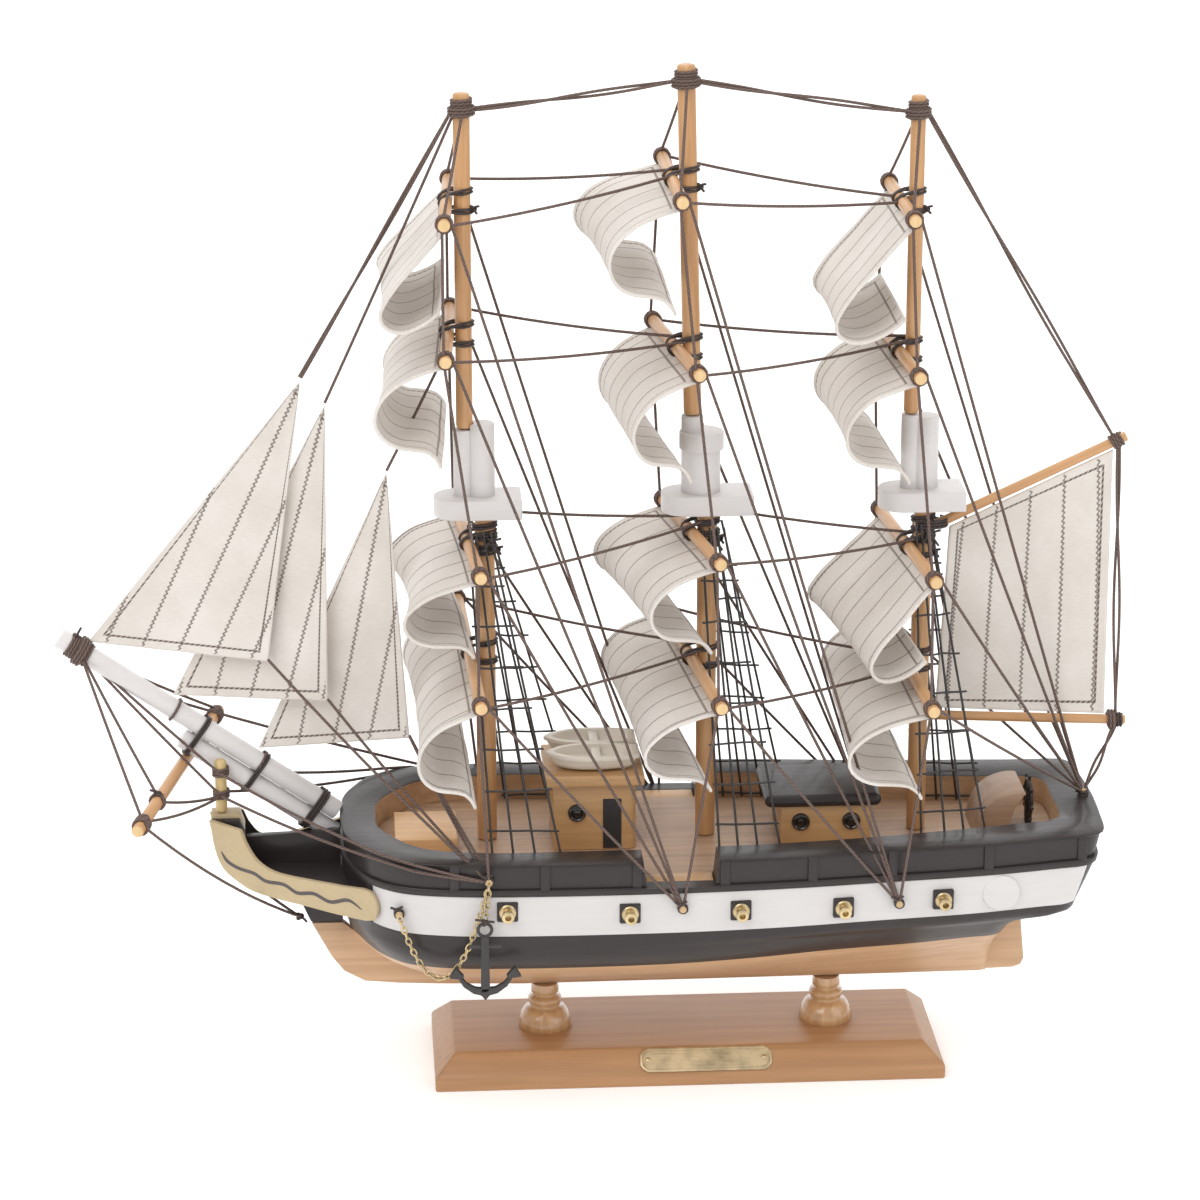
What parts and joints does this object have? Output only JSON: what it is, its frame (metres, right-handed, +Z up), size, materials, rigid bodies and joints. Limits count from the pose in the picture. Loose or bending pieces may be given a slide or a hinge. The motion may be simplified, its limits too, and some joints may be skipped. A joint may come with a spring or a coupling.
{
  "type": "decorative three-masted model ship",
  "caption": "Small wooden model of a square-rigged sailing ship with canvas sails, black and white hull and gun ports, fixed on a bevelled display base with a blank brass plate.",
  "frame": {"origin": "centre of the object's box on the underside of the base", "axes": "+X aft along the ship, +Y to starboard, +Z up"},
  "size_m": [0.3217, 0.1072, 0.3074],
  "materials": {
    "honey_wood": "stained and varnished dowel and block",
    "black_paint": "glossy black paint on wood",
    "white_paint": "off-white satin paint on wood",
    "tan_paint": "tan matte paint on wood",
    "cream_plastic": "moulded satin",
    "canvas": "stiffened cotton cloth",
    "thread": "waxed twisted thread",
    "brass": "bright",
    "gun_metal": "dark cast metal"
  },
  "bodies": {
    "ship": {"base": "honey_wood", "nameplate": "brass", "hull_bottom": "honey_wood", "hull_wale": "black_paint", "hull_band": "white_paint", "bulwark": "black_paint", "deck": "honey_wood", "ships_wheel": "black_paint", "head_boards": "tan_paint", "head_knee": "black_paint", "bow_post": "honey_wood", "jib_boom": "white_paint", "bowsprit": "white_paint", "fore_lower_mast": "honey_wood", "fore_top": "white_paint", "fore_upper_mast": "honey_wood", "main_lower_mast": "honey_wood", "main_top": "white_paint", "main_upper_mast": "honey_wood", "mizzen_lower_mast": "honey_wood", "mizzen_top": "white_paint", "mizzen_upper_mast": "honey_wood", "fore_royal_yard": "honey_wood", "fore_topgallant_yard": "honey_wood", "fore_topsail_yard": "honey_wood", "fore_course_yard": "honey_wood", "main_royal_yard": "honey_wood", "main_topgallant_yard": "honey_wood", "main_topsail_yard": "honey_wood", "main_course_yard": "honey_wood", "mizzen_royal_yard": "honey_wood", "mizzen_topgallant_yard": "honey_wood", "mizzen_topsail_yard": "honey_wood", "mizzen_course_yard": "honey_wood", "spritsail_yard": "honey_wood", "fore_royal_sail": "canvas", "fore_topgallant_sail": "canvas", "fore_topsail_sail": "canvas", "fore_course_sail": "canvas", "main_royal_sail": "canvas", "main_topgallant_sail": "canvas", "main_topsail_sail": "canvas", "main_course_sail": "canvas", "mizzen_royal_sail": "canvas", "mizzen_topgallant_sail": "canvas", "mizzen_topsail_sail": "canvas", "mizzen_course_sail": "canvas", "gaff": "honey_wood", "boom": "honey_wood", "spanker": "canvas", "jib_outer": "canvas", "jib_middle": "canvas", "jib_inner": "canvas", "fore_cabin": "honey_wood", "rowboats": "cream_plastic", "aft_cabin": "honey_wood", "aft_cabin_roof": "black_paint", "anchor_chain": "brass", "stays": "thread"},
    "anchor": {"anchor": "gun_metal"}
  },
  "joints": [
    {"name": "anchor_swing", "type": "hinge", "parent": "ship", "child": "anchor", "pos_m": [-0.0352, -0.047, 0.0616], "axis": [0, 1, 0], "range_deg": [-25, 20]}
  ]
}
